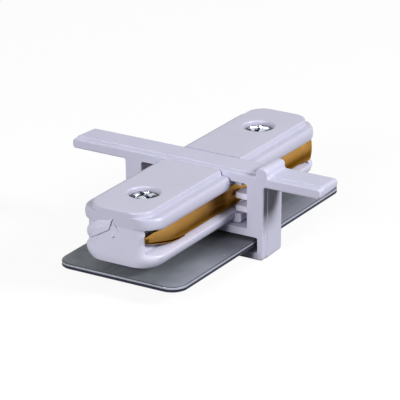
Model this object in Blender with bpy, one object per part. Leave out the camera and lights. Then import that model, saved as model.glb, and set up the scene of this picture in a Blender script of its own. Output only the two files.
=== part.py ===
"""Straight connector for a recessed two-wire lighting track.

A moulded trim frame with two wings closes the gap between two track ends.
The insulating body passes through the frame's window: one long base, two
covers whose tongues tuck under the frame's top bar, and two brass contact
strips that lie in the body's side grooves. Two screws pull a steel plate up
against the track's web from below.

X runs along the track, Y across it, Z up. The origin is at the middle of the
frame's foot, on the surface that the connector stands on.
"""
from math import acos, cos, pi, radians, sin, tan

import bmesh
import bpy
from mathutils import Vector

MM = 0.001

# Clearances
SEAT_GAP = 0.10 * MM          # between two moulded faces that rest on each other
SLIDE_GAP = 0.15 * MM         # round a tongue, a shank or a strip that slides in place
PLATE_REST_DROP = 0.60 * MM   # plate below the middle bar with the screws as photographed

# Trim frame
FRAME_DEPTH = 7.40 * MM
FRAME_SPAN = 56.60 * MM
FRAME_DRAFT = radians(2.2)
FRAME_EDGE = 0.35 * MM
OPENING_EDGE = 0.12 * MM
WINDOW_WIDTH = 24.10 * MM
WINDOW_HEIGHT = 9.20 * MM
WINDOW_CORNER = 0.60 * MM
POST_WIDTH = 3.95 * MM
POST_TAPER = 0.20 * MM
TOP_BAR = 1.95 * MM
MIDDLE_BAR = 1.55 * MM
SLOT_HEIGHT = 3.05 * MM
SLOT_SIDE_CUT = 2.30 * MM
SLOT_CORNER = 0.35 * MM
FOOT_BAR = 1.55 * MM
FOOT_CORNER = 0.80 * MM
WING_THICKNESS = 2.00 * MM
WING_CORNER = 0.45 * MM
WING_FILLET = 0.90 * MM
LEDGE_DEPTH = 1.50 * MM
LEDGE_STEP = 0.20 * MM
RIDGE_OFFSET = 15.35 * MM     # from the middle of the frame, on the right post
RIDGE_WIDTH = 2.60 * MM
RIDGE_HEIGHT = 1.70 * MM
RIDGE_CROWN = 1.10 * MM
RIDGE_FILLET = 0.35 * MM
FIN_LENGTH = 3.80 * MM
FIN_DEPTH = 3.30 * MM
FIN_THICKNESS = 1.20 * MM
FIN_PITCH = 2.65 * MM
FIN_RISE = 2.35 * MM          # lowest fin above the window's floor
FIN_COUNT = 2
FIN_CORNER = 0.40 * MM

# Insulating body
BODY_LENGTH = 63.00 * MM
BASE_HEIGHT = 7.65 * MM
FOOTPRINT_INSET = 1.00 * MM   # how far the flange's sides lean in at the underside
FLANGE_WIDTH = 16.90 * MM
FLANGE_CORNER = 4.20 * MM
FLANGE_HEIGHT = 2.05 * MM
FLANGE_LAND = 0.60 * MM
GROOVE_FLOOR = 2.85 * MM      # above the base's underside, at the groove's inner wall
GROOVE_FALL = 0.60 * MM       # how much the floor drops towards the flange's edge
WAIST_WIDTH = 15.20 * MM
WAIST_CORNER = 3.80 * MM
CORE_WIDTH = 11.20 * MM       # between the walls behind the two contact strips
STRIP_PAD = 10.00 * MM        # length of the pads that back the strips in the middle
END_WALL = 0.90 * MM
END_WALL_REACH = 0.50 * MM    # end wall stands this much proud of the core, to the right
KEY_BLOCK = 3.90 * MM         # solid corner that carries the polarity key
KEY_RIB = 0.40 * MM
KEY_RIB_HEIGHT = 2.20 * MM
KEY_RIB_RISE = 3.40 * MM      # above the base's underside
KEY_RIB_SLOPE = radians(30.0)
TAB_DEPTH = 3.80 * MM
TAB_REACH = 1.30 * MM
LOWER_TAB_HEIGHT = 1.85 * MM
GATE_PIP = 0.30 * MM
GATE_PIP_HEIGHT = 5.55 * MM
GATE_PIP_OFFSET = 0.45 * MM

# Covers
LIP_WIDTH = 17.40 * MM
LIP_CORNER = 4.40 * MM
LIP_END_CORNER = 0.55 * MM
LIP_BEAD = 0.75 * MM          # half the thickness of the bead along the lip
LIP_DROP = 0.50 * MM          # how far the bead hangs below the cover's underside
BEAD_FADE = 3.40 * MM
PLATFORM_WIDTH = 12.90 * MM
PLATFORM_HEIGHT = 1.08 * MM
PLATFORM_CORNER = 3.45 * MM
TONGUE_WIDTH = 15.80 * MM
RECESS_DIAMETER = 6.90 * MM
RECESS_DEPTH = 2.60 * MM
RECESS_CHAMFER = 0.12 * MM

# Contact strips
STRIP_THICKNESS = 0.50 * MM
STRIP_HEIGHT = 4.45 * MM
STRIP_DROP = 0.30 * MM        # upper edge below the base's top
STRIP_BOW = 0.55 * MM
STRIP_FIN_GAP = 0.35 * MM
STRIP_TAPER = 12.50 * MM
STRIP_TIP_HEIGHT = 1.20 * MM
STRIP_TIP_DROP = 0.80 * MM
STRIP_CURL = 9.00 * MM
STRIP_CURL_DEPTH = 1.15 * MM
STRIP_HOOK = 3.00 * MM        # curled length at the closed end
STRIP_HOOK_DEPTH = 0.50 * MM
STRIP_END_GAP = 0.50 * MM     # tip of the strip in from the body's end

# Clamp plate and screws
PLATE_LENGTH = 63.00 * MM
PLATE_WIDTH = 27.60 * MM
PLATE_THICKNESS = 1.00 * MM
PLATE_CORNER = 3.20 * MM
PLATE_EDGE = 0.30 * MM
THREAD_COLLAR = 0.80 * MM     # thread drawn down out of the plate
THREAD_WALL = 0.75 * MM
SCREW_END = 10.15 * MM        # screw axis in from the body's end
SHANK_DIAMETER = 2.90 * MM
SHANK_LENGTH = 13.00 * MM
SHANK_CHAMFER = 0.40 * MM
HEAD_DIAMETER = 6.10 * MM
HEAD_RIM = 0.85 * MM
HEAD_CROWN = 0.95 * MM
DRIVE_WIDTH = 3.40 * MM
DRIVE_SLOT = 0.80 * MM
DRIVE_DEPTH = 1.20 * MM

# Levels that follow from the sizes above
SLOT_ROOF = FOOT_BAR + SLOT_HEIGHT
WINDOW_FLOOR = SLOT_ROOF + MIDDLE_BAR
WINDOW_ROOF = WINDOW_FLOOR + WINDOW_HEIGHT
LEDGE_LEVEL = WINDOW_ROOF + TOP_BAR
BASE_BOTTOM = WINDOW_FLOOR + SEAT_GAP
BASE_TOP = BASE_BOTTOM + BASE_HEIGHT
COVER_BOTTOM = BASE_TOP + SEAT_GAP
COVER_INNER_END = FRAME_DEPTH / 2 + SLIDE_GAP
LIP_TOP = LEDGE_LEVEL - PLATFORM_HEIGHT
HEAD_SEAT = LEDGE_LEVEL - RECESS_DEPTH + SEAT_GAP
PLATE_TOP = SLOT_ROOF - PLATE_REST_DROP
FLANGE = FLANGE_WIDTH / 2
SCREW_X = BODY_LENGTH / 2 - SCREW_END
WAIST = WAIST_WIDTH / 2
CORE = CORE_WIDTH / 2
STRIP_FACE = WINDOW_WIDTH / 2 - FIN_LENGTH - STRIP_FIN_GAP
SCREW_BORE = SHANK_DIAMETER / 2 + SLIDE_GAP

ARC_STEPS = 6
BEAD_STEPS = 9
ROUND_STEPS = 32
OVERSHOOT = 2.0 * MM          # how far a cutter runs past what it cuts


def clear_scene():
    for item in list(bpy.data.objects):
        bpy.data.objects.remove(item, do_unlink=True)


def finish(name, colour, roughness, metallic):
    """A plain Principled material for one sub-part."""
    material = bpy.data.materials.new(name)
    material.use_nodes = True
    shader = material.node_tree.nodes["Principled BSDF"]
    shader.inputs["Base Color"].default_value = (*colour, 1.0)
    shader.inputs["Roughness"].default_value = roughness
    shader.inputs["Metallic"].default_value = metallic
    return material


def add_object(name, mesh_builder, material=None):
    """Turn a bmesh into a scene object with its faces pointing out."""
    bmesh.ops.recalc_face_normals(mesh_builder, faces=mesh_builder.faces)
    mesh = bpy.data.meshes.new(name)
    mesh_builder.to_mesh(mesh)
    mesh_builder.free()
    part = bpy.data.objects.new(name, mesh)
    bpy.context.scene.collection.objects.link(part)
    if material:
        mesh.materials.append(material)
        mesh.shade_smooth()
        mesh.set_sharp_from_angle(angle=radians(32))
    return part


def combine(part, tool, operation):
    """Boolean a helper solid into a part; the helper itself is never rendered."""
    tool.hide_render = True
    tool.display_type = "WIRE"
    step = part.modifiers.new(tool.name, "BOOLEAN")
    step.operation = operation
    step.solver = "EXACT"
    step.object = tool


def ease(t):
    """Smooth step from 0 to 1."""
    t = max(0.0, min(1.0, t))
    return t * t * (3.0 - 2.0 * t)


def rounded_outline(corners, radii):
    """Points along a polygon whose corners are replaced by arcs, in or out."""
    points = []
    count = len(corners)
    for i in range(count):
        here = Vector(corners[i])
        back = (Vector(corners[i - 1]) - here).normalized()
        ahead = (Vector(corners[(i + 1) % count]) - here).normalized()
        half_angle = acos(max(-1.0, min(1.0, back.dot(ahead)))) / 2
        radius = radii[i]
        centre = here + (back + ahead).normalized() * radius / sin(half_angle)
        start = here + back * radius / tan(half_angle) - centre
        end = here + ahead * radius / tan(half_angle) - centre
        sweep = start.angle_signed(end)
        for k in range(ARC_STEPS + 1):
            turn = -sweep * k / ARC_STEPS
            points.append((
                centre.x + start.x * cos(turn) - start.y * sin(turn),
                centre.y + start.x * sin(turn) + start.y * cos(turn)))
    return points


def rectangle(x_low, x_high, y_low, y_high, radii):
    """A rounded rectangle; radii go round from the low-x, low-y corner."""
    corners = [(x_low, y_low), (x_high, y_low), (x_high, y_high), (x_low, y_high)]
    return rounded_outline(corners, radii)


def bridge(builder, first, second):
    """Quads between two rings that have the same number of vertices."""
    for i in range(len(first)):
        j = (i + 1) % len(first)
        builder.faces.new((first[i], first[j], second[j], second[i]))


def loft(rings):
    """A closed solid through rings of 3-D points, capped at both ends."""
    builder = bmesh.new()
    loops = [[builder.verts.new(p) for p in ring] for ring in rings]
    for first, second in zip(loops, loops[1:]):
        bridge(builder, first, second)
    builder.faces.new(loops[0])
    builder.faces.new(reversed(loops[-1]))
    return builder


def upright(outline, bottom, top):
    """A prism that stands on an XY outline."""
    return loft([[(x, y, z) for x, y in outline] for z in (bottom, top)])


def lengthwise(outline, x_low, x_high):
    """A prism along X whose section is a YZ outline."""
    return loft([[(x, y, z) for y, z in outline] for x in (x_low, x_high)])


def turned(profile, x_centre):
    """A solid of revolution about a vertical axis, from (radius, height) points."""
    rings = []
    for radius, height in profile:
        ring = []
        for k in range(ROUND_STEPS):
            angle = 2 * pi * k / ROUND_STEPS
            ring.append((x_centre + radius * cos(angle), radius * sin(angle), height))
        rings.append(ring)
    return loft(rings)


def frame_outline(edge, draft, lift):
    """Outer YZ outline of the frame at one depth: wings, ridge, posts and foot."""
    inset = edge + draft
    half_span = FRAME_SPAN / 2 - inset
    top = LEDGE_LEVEL + lift - inset
    wing_bottom = LEDGE_LEVEL - WING_THICKNESS + inset
    post = WINDOW_WIDTH / 2 + POST_WIDTH - inset
    ankle = post - POST_TAPER
    ridge_half = RIDGE_WIDTH / 2 - inset
    ridge_inner = ridge_half - RIDGE_OFFSET
    ridge_outer = -ridge_half - RIDGE_OFFSET
    ridge_top = LEDGE_LEVEL + LEDGE_STEP + RIDGE_HEIGHT - inset
    wing_corner = WING_CORNER - edge
    points = [
        ((half_span, wing_bottom), wing_corner),
        ((half_span, top), wing_corner),
        ((ridge_inner, top), RIDGE_FILLET),
        ((ridge_inner, ridge_top), RIDGE_CROWN - inset),
        ((ridge_outer, ridge_top), RIDGE_CROWN - inset),
        ((ridge_outer, top), RIDGE_FILLET),
        ((-half_span, top), wing_corner),
        ((-half_span, wing_bottom), wing_corner),
        ((-post, wing_bottom), WING_FILLET + edge),
        ((-ankle, edge), FOOT_CORNER - edge),
        ((ankle, edge), FOOT_CORNER - edge),
        ((post, wing_bottom), WING_FILLET + edge)]
    return rounded_outline([p for p, _ in points], [r for _, r in points])


def frame_openings(edge, draft):
    """The window for the body and the slot for the plate, wider towards the back."""
    grow = edge * OPENING_EDGE / FRAME_EDGE + draft
    side = WINDOW_WIDTH / 2 + grow
    window = rectangle(
        -side, side, WINDOW_FLOOR - grow, WINDOW_ROOF + grow,
        [SLOT_CORNER, SLOT_CORNER, WINDOW_CORNER, WINDOW_CORNER])
    side = WINDOW_WIDTH / 2 + SLOT_SIDE_CUT + grow
    slot = rectangle(
        -side, side, FOOT_BAR - grow, SLOT_ROOF + grow, [SLOT_CORNER] * 4)
    return [window, slot]


def frame_shell():
    """The frame's plate: one outline with two openings, lofted through its depth."""
    front = -FRAME_DEPTH / 2
    back = FRAME_DEPTH / 2
    ledge = front + LEDGE_DEPTH
    riser = LEDGE_STEP / 4
    stations = [
        (front, FRAME_EDGE, 0.0),
        (front + 0.3 * FRAME_EDGE, 0.3 * FRAME_EDGE, 0.0),
        (front + FRAME_EDGE, 0.0, 0.0),
        (ledge, 0.0, 0.0),
        (ledge + riser, 0.0, LEDGE_STEP),
        (back - FRAME_EDGE, 0.0, LEDGE_STEP),
        (back - 0.3 * FRAME_EDGE, 0.3 * FRAME_EDGE, LEDGE_STEP),
        (back, FRAME_EDGE, LEDGE_STEP)]
    builder = bmesh.new()
    previous = None
    for x, edge, lift in stations:
        draft = max(0.0, x - ledge) * tan(FRAME_DRAFT)
        outlines = [frame_outline(edge, draft, lift)] + frame_openings(edge, draft)
        loops = [[builder.verts.new((x, y, z)) for y, z in line] for line in outlines]
        if previous is None:
            close_face(builder, loops)
        else:
            for first, second in zip(previous, loops):
                bridge(builder, first, second)
        previous = loops
    close_face(builder, previous)
    return builder


def close_face(builder, loops):
    """Fill a flat face between an outer ring and the rings of its openings."""
    edges = []
    for ring in loops:
        for i in range(len(ring)):
            pair = (ring[i], ring[(i + 1) % len(ring)])
            edges.append(builder.edges.get(pair) or builder.edges.new(pair))
    bmesh.ops.triangle_fill(builder, use_beauty=True, edges=edges)


def fin(side, level):
    """A short shelf on a post's inner face, like the track's own conductor ribs."""
    root = WINDOW_WIDTH / 2 + POST_WIDTH / 4
    tip = WINDOW_WIDTH / 2 - FIN_LENGTH
    half = FIN_DEPTH / 2
    chamfer = FIN_THICKNESS / 8
    rings = []
    for inset, z in ((chamfer, 0.0), (0.0, chamfer),
                     (0.0, FIN_THICKNESS - chamfer), (chamfer, FIN_THICKNESS)):
        outline = rectangle(
            -half + inset, half - inset, tip + inset, root,
            [FIN_CORNER, FIN_CORNER, FIN_CORNER / 4, FIN_CORNER / 4])
        rings.append([(x, side * y, level + z) for x, y in outline])
    return loft(rings)


def build_frame():
    white = finish("frame_white", (0.70, 0.70, 0.77), 0.42, 0.0)
    frame = add_object("trim_frame", frame_shell(), white)
    for side in (-1, 1):
        for i in range(FIN_COUNT):
            level = WINDOW_FLOOR + FIN_RISE + i * FIN_PITCH
            rib = add_object(f"fin_{'right' if side < 0 else 'left'}_{i + 1}", fin(side, level))
            combine(frame, rib, "UNION")


def base_blank():
    """The base before its grooves are cut: a flanged block with a narrower waist."""
    half = BODY_LENGTH / 2
    levels = [
        (0.0, FOOTPRINT_INSET / 5, FLANGE - FOOTPRINT_INSET, FLANGE_CORNER - FOOTPRINT_INSET / 5),
        ((FLANGE_HEIGHT - FLANGE_LAND) / 2, 0.0, FLANGE - FOOTPRINT_INSET / 3, FLANGE_CORNER),
        (FLANGE_HEIGHT - FLANGE_LAND, 0.0, FLANGE - FOOTPRINT_INSET / 20, FLANGE_CORNER),
        (FLANGE_HEIGHT, 0.0, FLANGE, FLANGE_CORNER),
        (FLANGE_HEIGHT + GROOVE_FALL / 2, 0.0, FLANGE - GROOVE_FALL / 3, FLANGE_CORNER),
        (GROOVE_FLOOR + GROOVE_FALL / 3, 0.0, WAIST, WAIST_CORNER),
        (BASE_HEIGHT, 0.0, WAIST, WAIST_CORNER)]
    rings = []
    for rise, inset, width, corner in levels:
        outline = rectangle(-half + inset, half - inset, -width, width, [corner] * 4)
        rings.append([(x, y, BASE_BOTTOM + rise) for x, y in outline])
    return loft(rings)


def groove_cutter(side):
    """Cuts one contact groove: open at one end, closed at the other by the key's corner.

    The two grooves are alike, turned half round about the vertical: the right
    one opens at the front and the left one at the rear.
    """
    pad = STRIP_PAD / 2
    closed = BODY_LENGTH / 2 - KEY_BLOCK
    wall = BODY_LENGTH / 2 - END_WALL
    out = BODY_LENGTH / 2 + OVERSHOOT
    reach = CORE + END_WALL_REACH
    far = FLANGE + OVERSHOOT
    backing = STRIP_FACE - STRIP_BOW - STRIP_THICKNESS - SLIDE_GAP
    plan = [(-closed, CORE), (-pad, CORE), (-pad, backing), (pad, backing), (pad, CORE),
            (wall, CORE), (wall, reach), (out, reach), (out, far), (-closed, far)]
    slope = GROOVE_FALL / (FLANGE - CORE)
    floor = BASE_BOTTOM + GROOVE_FLOOR
    bottom = [(side * x, side * y, floor - slope * (y - CORE)) for x, y in plan]
    top = [(side * x, side * y, BASE_TOP + OVERSHOOT) for x, y in plan]
    return loft([bottom, top])


def key_rib(end):
    """Polarity rib that climbs round a closed corner and runs out on the end face."""
    face = BODY_LENGTH / 2
    centre = WAIST - WAIST_CORNER
    climb = tan(KEY_RIB_SLOPE)
    path = []
    for k in range(1, ARC_STEPS + 3):
        turn = radians(90.0) * k / (ARC_STEPS + 2)
        path.append((face - WAIST_CORNER + WAIST_CORNER * sin(turn),
                     centre + WAIST_CORNER * cos(turn), sin(turn), cos(turn)))
    for k in range(1, 5):
        path.append((face, centre * (1 - 0.7 * k / 4), 1.0, 0.0))
    last = len(path) - 1
    rings = []
    for i, (x, y, out_x, out_y) in enumerate(path):
        low = BASE_BOTTOM + KEY_RIB_RISE + climb * (WAIST - y)
        high = min(low + KEY_RIB_HEIGHT, BASE_TOP - SEAT_GAP)
        proud = KEY_RIB * min(1.0, 0.5 + i, 0.3 + 0.35 * (last - i))
        ring = []
        for out, rise in ((-2.0, 0.15), (0.0, 0.0), (0.8, 0.12), (1.0, 0.35),
                          (0.9, 0.75), (0.0, 1.0), (-2.0, 0.85)):
            reach = out * (proud if out > 0 else KEY_RIB)
            ring.append((end * (x + out_x * reach), -end * (y + out_y * reach),
                         low + rise * (high - low)))
        rings.append(ring)
    return loft(rings)


def lower_tab(side):
    """Stop tab that stands over the middle bar, with a rounded lower corner."""
    corner = LOWER_TAB_HEIGHT / 4
    outline = rectangle(
        WAIST - OVERSHOOT / 2, FLANGE + TAB_REACH,
        BASE_BOTTOM + SEAT_GAP / 2, BASE_BOTTOM + LOWER_TAB_HEIGHT,
        [corner / 4, corner, corner / 3, corner / 4])
    section = [(side * y, z) for y, z in outline]
    return lengthwise(section, -TAB_DEPTH / 2, TAB_DEPTH / 2)


def build_base():
    white = finish("base_white", (0.72, 0.72, 0.78), 0.45, 0.0)
    base = add_object("base_housing", base_blank(), white)
    for side in (-1, 1):
        place = "right" if side < 0 else "left"
        combine(base, add_object(f"groove_{place}", groove_cutter(side)), "DIFFERENCE")
        combine(base, add_object(f"tab_{place}", lower_tab(side)), "UNION")
    for end in (-1, 1):
        place = "front" if end < 0 else "rear"
        combine(base, add_object(f"key_rib_{place}", key_rib(end)), "UNION")
        bore = turned(
            [(SCREW_BORE, BASE_BOTTOM - OVERSHOOT), (SCREW_BORE, BASE_TOP + OVERSHOOT)],
            end * SCREW_X)
        combine(base, add_object(f"base_bore_{place}", bore), "DIFFERENCE")
        combine(base, add_object(f"gate_pip_{place}", gate_pip(end)), "UNION")


def gate_pip(end):
    """The small round mark that the mould's gate leaves on each end face."""
    face = BODY_LENGTH / 2
    height = BASE_BOTTOM + GATE_PIP_HEIGHT
    rings = []
    for out, radius in ((-GATE_PIP, GATE_PIP), (GATE_PIP / 2, GATE_PIP), (GATE_PIP, GATE_PIP / 2)):
        ring = []
        for k in range(10):
            angle = 2 * pi * k / 10
            ring.append((end * (face + out), radius * cos(angle) - end * GATE_PIP_OFFSET,
                         height + radius * sin(angle)))
        rings.append(ring)
    return loft(rings)


def cover_shell(end):
    """One cover: beaded lip, step and flat platform, square where it meets the frame.

    Each level is a rounded rectangle. The bead hangs over the base along the
    sides and fades out round the corners, so that the end stays flush.
    """
    outer = BODY_LENGTH / 2
    lip = LIP_WIDTH / 2
    platform = PLATFORM_WIDTH / 2
    bevel = PLATFORM_HEIGHT / 8
    middle = (LIP_TOP + COVER_BOTTOM - LIP_DROP) / 2
    half_height = LIP_TOP - middle
    levels = [(COVER_BOTTOM, COVER_BOTTOM, 2 * SEAT_GAP, lip - 1.2 * LIP_BEAD, LIP_END_CORNER)]
    for k in range(BEAD_STEPS + 1):
        turn = radians(180.0 * k / BEAD_STEPS - 90.0)
        side_z = middle + half_height * sin(turn)
        end_z = max(side_z, COVER_BOTTOM + (k + 1) * SEAT_GAP / 2)
        levels.append((side_z, end_z, max(0.0, SEAT_GAP - k * SEAT_GAP / 2),
                       lip - LIP_BEAD * (1 - cos(turn)), LIP_END_CORNER))
    for z, inset, width in ((LIP_TOP + bevel / 2, 0.0, platform + 2 * bevel),
                            (LEDGE_LEVEL - bevel, 0.0, platform + bevel),
                            (LEDGE_LEVEL, bevel, platform)):
        levels.append((z, z, inset, width, bevel))
    rings = []
    for side_z, end_z, inset, width, inner_corner in levels:
        corner = PLATFORM_CORNER + (width - platform) * (LIP_CORNER - PLATFORM_CORNER) / (lip - platform)
        outline = rectangle(
            COVER_INNER_END, outer - inset, -width, width,
            [inner_corner, corner, corner, inner_corner])
        ring = []
        for x, y in outline:
            share = ease((outer - BEAD_FADE / 2 - x) / (LIP_CORNER - BEAD_FADE / 2))
            ring.append((end * x, y, end_z + share * (side_z - end_z)))
        rings.append(ring)
    return loft(rings)


def tongue(end):
    """Tongue that tucks under the top bar, with ears that stop the frame from sliding."""
    half_width = TONGUE_WIDTH / 2
    ear = FLANGE + TAB_REACH + SLIDE_GAP
    plan = [
        (SEAT_GAP / 2, -ear), (TAB_DEPTH / 2, -ear), (TAB_DEPTH / 2, -half_width),
        (COVER_INNER_END + OVERSHOOT, -half_width), (COVER_INNER_END + OVERSHOOT, half_width),
        (TAB_DEPTH / 2, half_width), (TAB_DEPTH / 2, ear), (SEAT_GAP / 2, ear)]
    outline = rounded_outline(plan, [SLIDE_GAP] * len(plan))
    flat = [(end * x, y) for x, y in outline]
    return upright(flat, COVER_BOTTOM + SEAT_GAP / 2, WINDOW_ROOF - SLIDE_GAP)


def screw_recess(x_centre):
    """Counterbore for the head with a broken rim, and the shank's bore below it."""
    radius = RECESS_DIAMETER / 2
    rim = radius + RECESS_CHAMFER
    floor = LEDGE_LEVEL - RECESS_DEPTH
    profile = [
        (SCREW_BORE, COVER_BOTTOM - OVERSHOOT), (SCREW_BORE, floor), (radius, floor),
        (radius, LEDGE_LEVEL - RECESS_CHAMFER), (rim, LEDGE_LEVEL), (rim, LEDGE_LEVEL + OVERSHOOT)]
    return turned(profile, x_centre)


def build_cover(name, end):
    white = finish(f"{name}_white", (0.70, 0.70, 0.77), 0.42, 0.0)
    cover = add_object(name, cover_shell(end), white)
    combine(cover, add_object(f"{name}_tongue", tongue(end)), "UNION")
    recess = screw_recess(end * SCREW_X)
    combine(cover, add_object(f"{name}_recess", recess), "DIFFERENCE")


def contact_strip(side):
    """A spring strip, arched in section, that curls in at both ends.

    The end in the open part of the groove narrows to a tongue; the other stays
    at full height and stops short of the closed corner.
    """
    open_end = BODY_LENGTH / 2 - STRIP_END_GAP
    closed_end = BODY_LENGTH / 2 - KEY_BLOCK - 2 * SLIDE_GAP
    middle = (open_end - closed_end) / 2
    half_length = (open_end + closed_end) / 2
    top = BASE_TOP - STRIP_DROP
    across = 6
    along = 20
    rings = []
    for i in range(-along, along + 1):
        x = middle + half_length * sin(pi / 2 * i / along)
        taper = max(0.0, (x - open_end + STRIP_TAPER) / STRIP_TAPER) ** 1.3
        curl = (STRIP_CURL_DEPTH * ease((x - open_end + STRIP_CURL) / STRIP_CURL)
                + STRIP_HOOK_DEPTH * max(0.0, 1 - (x + closed_end) / STRIP_HOOK) ** 2)
        high = top - taper * STRIP_TIP_DROP
        tall = STRIP_HEIGHT + taper * (STRIP_TIP_HEIGHT - STRIP_HEIGHT)
        bow = STRIP_BOW * (tall / STRIP_HEIGHT) ** 2
        ring = []
        for face in (0, 1):
            for k in range(across + 1):
                v = k / across if face == 0 else 1 - k / across
                y = STRIP_FACE - curl - bow * (2 * v - 1) ** 2 - face * STRIP_THICKNESS
                ring.append((side * x, side * y, high - tall * (1 - v)))
        rings.append(ring)
    return loft(rings)


def build_contacts():
    for name, side in (("contact_right", -1), ("contact_left", 1)):
        brass = finish(f"{name}_brass", (0.62, 0.38, 0.12), 0.32, 1.0)
        add_object(name, contact_strip(side), brass)


def plate_blank():
    """A stamped plate: rolled upper edge, sharp lower edge."""
    half_length = PLATE_LENGTH / 2
    half_width = PLATE_WIDTH / 2
    bottom = PLATE_TOP - PLATE_THICKNESS
    rings = []
    for inset, z in ((0.0, bottom), (0.0, PLATE_TOP - PLATE_EDGE),
                     (0.3 * PLATE_EDGE, PLATE_TOP - 0.3 * PLATE_EDGE), (PLATE_EDGE, PLATE_TOP)):
        outline = rectangle(
            -half_length + inset, half_length - inset, -half_width + inset, half_width - inset,
            [PLATE_CORNER - inset] * 4)
        rings.append([(x, y, z) for x, y in outline])
    return loft(rings)


def build_plate():
    steel = finish("plate_steel", (0.33, 0.36, 0.37), 0.35, 1.0)
    plate = add_object("clamp_plate", plate_blank(), steel)
    bottom = PLATE_TOP - PLATE_THICKNESS
    for end in (-1, 1):
        place = "front" if end < 0 else "rear"
        x = end * SCREW_X
        wall = SCREW_BORE + THREAD_WALL
        collar = turned(
            [(wall - PLATE_EDGE / 2, bottom - THREAD_COLLAR),
             (wall, bottom - THREAD_COLLAR + PLATE_EDGE / 2),
             (wall, PLATE_TOP - PLATE_THICKNESS / 2)], x)
        combine(plate, add_object(f"thread_collar_{place}", collar), "UNION")
        bore = turned(
            [(SCREW_BORE, bottom - THREAD_COLLAR - OVERSHOOT), (SCREW_BORE, PLATE_TOP + OVERSHOOT)], x)
        combine(plate, add_object(f"plate_bore_{place}", bore), "DIFFERENCE")


def screw_body():
    """Pan head and shank, turned about the screw's own axis with the seat at zero."""
    head = HEAD_DIAMETER / 2
    shank = SHANK_DIAMETER / 2
    profile = [
        (shank - SHANK_CHAMFER, -SHANK_LENGTH), (shank, -SHANK_LENGTH + SHANK_CHAMFER),
        (shank, 0.0), (head - HEAD_RIM / 6, 0.0), (head, HEAD_RIM / 6), (head, HEAD_RIM)]
    for k in range(1, 6):
        turn = radians(18.0) * k
        profile.append((head * (0.3 + 0.7 * cos(turn)), HEAD_RIM + HEAD_CROWN * sin(turn)))
    return turned(profile, 0.0)


def drive_slot(turn):
    """One tapering slot of the cross recess."""
    top = HEAD_RIM + HEAD_CROWN
    rings = []
    for z, share in ((top - DRIVE_DEPTH, 0.45), (top + DRIVE_DEPTH, 1.5)):
        along = DRIVE_WIDTH / 2 * share
        across = DRIVE_SLOT / 2 * (0.55 + 0.45 * share)
        ring = []
        for x, y in ((-along, -across), (along, -across), (along, across), (-along, across)):
            ring.append((x * cos(turn) - y * sin(turn), x * sin(turn) + y * cos(turn), z))
        rings.append(ring)
    return loft(rings)


def build_screw(name, end, turn):
    zinc = finish(f"{name}_zinc", (0.78, 0.79, 0.80), 0.2, 1.0)
    screw = add_object(name, screw_body(), zinc)
    place = Vector((end * SCREW_X, 0.0, HEAD_SEAT))
    screw.location = place
    for i in range(2):
        slot = add_object(f"{name}_drive_{i + 1}", drive_slot(turn + i * pi / 2))
        slot.location = place
        combine(screw, slot, "DIFFERENCE")


clear_scene()
build_frame()
build_base()
build_cover("front_cover", -1)
build_cover("rear_cover", 1)
build_contacts()
build_plate()
build_screw("front_screw", -1, radians(25.0))
build_screw("rear_screw", 1, radians(-15.0))
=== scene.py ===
"""Looks of a straight connector for recessed lighting track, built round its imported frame."""

import math

import bmesh
import bpy
import numpy as np
from mathutils import Matrix, Vector


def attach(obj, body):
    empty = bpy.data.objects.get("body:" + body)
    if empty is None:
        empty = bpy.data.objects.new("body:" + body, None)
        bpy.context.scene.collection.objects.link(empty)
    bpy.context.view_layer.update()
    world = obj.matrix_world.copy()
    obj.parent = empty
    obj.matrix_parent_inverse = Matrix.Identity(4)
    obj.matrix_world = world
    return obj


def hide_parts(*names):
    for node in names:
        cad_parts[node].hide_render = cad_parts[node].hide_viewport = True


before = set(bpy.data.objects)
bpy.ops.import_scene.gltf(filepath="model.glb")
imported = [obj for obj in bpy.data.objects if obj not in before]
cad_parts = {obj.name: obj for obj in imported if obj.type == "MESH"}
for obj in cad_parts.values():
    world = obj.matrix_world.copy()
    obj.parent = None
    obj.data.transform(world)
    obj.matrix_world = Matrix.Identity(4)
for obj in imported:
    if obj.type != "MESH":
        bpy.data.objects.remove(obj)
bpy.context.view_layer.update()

# Camera, at the photograph's angle: a long lens that looks down over the front
# end of the connector, so that both wings and both covers show.
MM = 0.001
VIEW_AZIMUTH = math.radians(-58.123)
VIEW_ELEVATION = math.radians(21.458)
VIEW_ROLL = math.radians(-0.512)
VIEW_TARGET = np.array([-0.798, 0.297, 8.691]) * MM
VIEW_DISTANCE = 548.9 * MM
FOCAL_PIXELS = 2799.2
FRAME_PIXELS = 400.0
SENSOR = 36.0

scene = bpy.context.scene
back = np.array([
    math.sin(VIEW_AZIMUTH) * math.cos(VIEW_ELEVATION),
    -math.cos(VIEW_AZIMUTH) * math.cos(VIEW_ELEVATION),
    math.sin(VIEW_ELEVATION)])
level = np.cross([0.0, 0.0, 1.0], back)
level /= np.linalg.norm(level)
upright = np.cross(back, level)
across = math.cos(VIEW_ROLL) * level + math.sin(VIEW_ROLL) * upright
upward = math.cos(VIEW_ROLL) * upright - math.sin(VIEW_ROLL) * level
camera_data = bpy.data.cameras.new("camera")
camera_data.sensor_width = SENSOR
camera_data.lens = FOCAL_PIXELS / FRAME_PIXELS * SENSOR
camera_data.clip_start = 0.01
camera = bpy.data.objects.new("camera", camera_data)
turn = Matrix((across, upward, back)).transposed().to_4x4()
camera.matrix_world = Matrix.Translation(Vector(VIEW_TARGET + back * VIEW_DISTANCE)) @ turn
scene.collection.objects.link(camera)
scene.camera = camera
scene.view_settings.view_transform = "Standard"


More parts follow.
